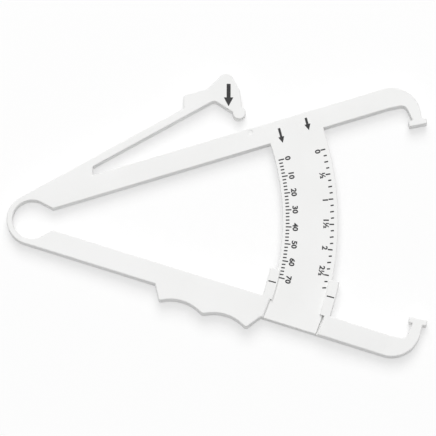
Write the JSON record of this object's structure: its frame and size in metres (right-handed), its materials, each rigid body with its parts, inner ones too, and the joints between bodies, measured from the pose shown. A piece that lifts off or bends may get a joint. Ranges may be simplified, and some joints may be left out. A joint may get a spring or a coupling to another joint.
{
  "type": "skinfold caliper",
  "caption": "Hand caliper for pinched skin: two arms on a sprung ring, hooked jaws with flat pads, a curved scale plate in a guide and a sprung thumb lever.",
  "frame": {"origin": "middle of the spring ring's eye, on the flat back face; the arms turn about this axis", "axes": "+X runs midway between the arms from the ring to the jaws, +Y is the side of the arm that carries the scale plate and the thumb lever, +Z is the printed front"},
  "size_m": [0.1577, 0.1071, 0.0067],
  "materials": {
    "body": "satin moulded",
    "ink": "matt printed"
  },
  "bodies": {
    "upper": {"spring_ring": "body", "upper_shoulder": "body", "upper_arm": "body", "upper_jaw": "body", "upper_jaw_pad": "body", "scale_plate": "body", "mm_graduations": "ink", "inch_graduations": "ink", "lever_flexure": "body"},
    "lower": {"lower_arm": "body", "finger_grip": "body", "guide_floor": "body", "mm_side_guide": "body", "inch_side_guide": "body", "lower_arm_end": "body", "lower_jaw": "body", "lower_jaw_pad": "body", "mm_index_mark": "ink", "inch_index_mark": "ink"},
    "lever": {"press_lever": "body", "thumb_rest": "body", "lever_head": "body", "lever_finger": "body"}
  },
  "joints": [
    {"name": "jaw_closing", "type": "hinge", "parent": "upper", "child": "lower", "pos_m": [0, 0, 0], "axis": [0, 0, 1], "range_deg": [0, 28.3], "stiffness_Nm_per_rad": 0.26, "deforming": ["spring_ring"]},
    {"name": "lever_press", "type": "hinge", "parent": "upper", "child": "lever", "pos_m": [0.02783, 0.02483, 0.00275], "axis": [0, 0, -1], "range_deg": [0, 4.8], "stiffness_Nm_per_rad": 1.1, "deforming": ["lever_flexure"]}
  ]
}
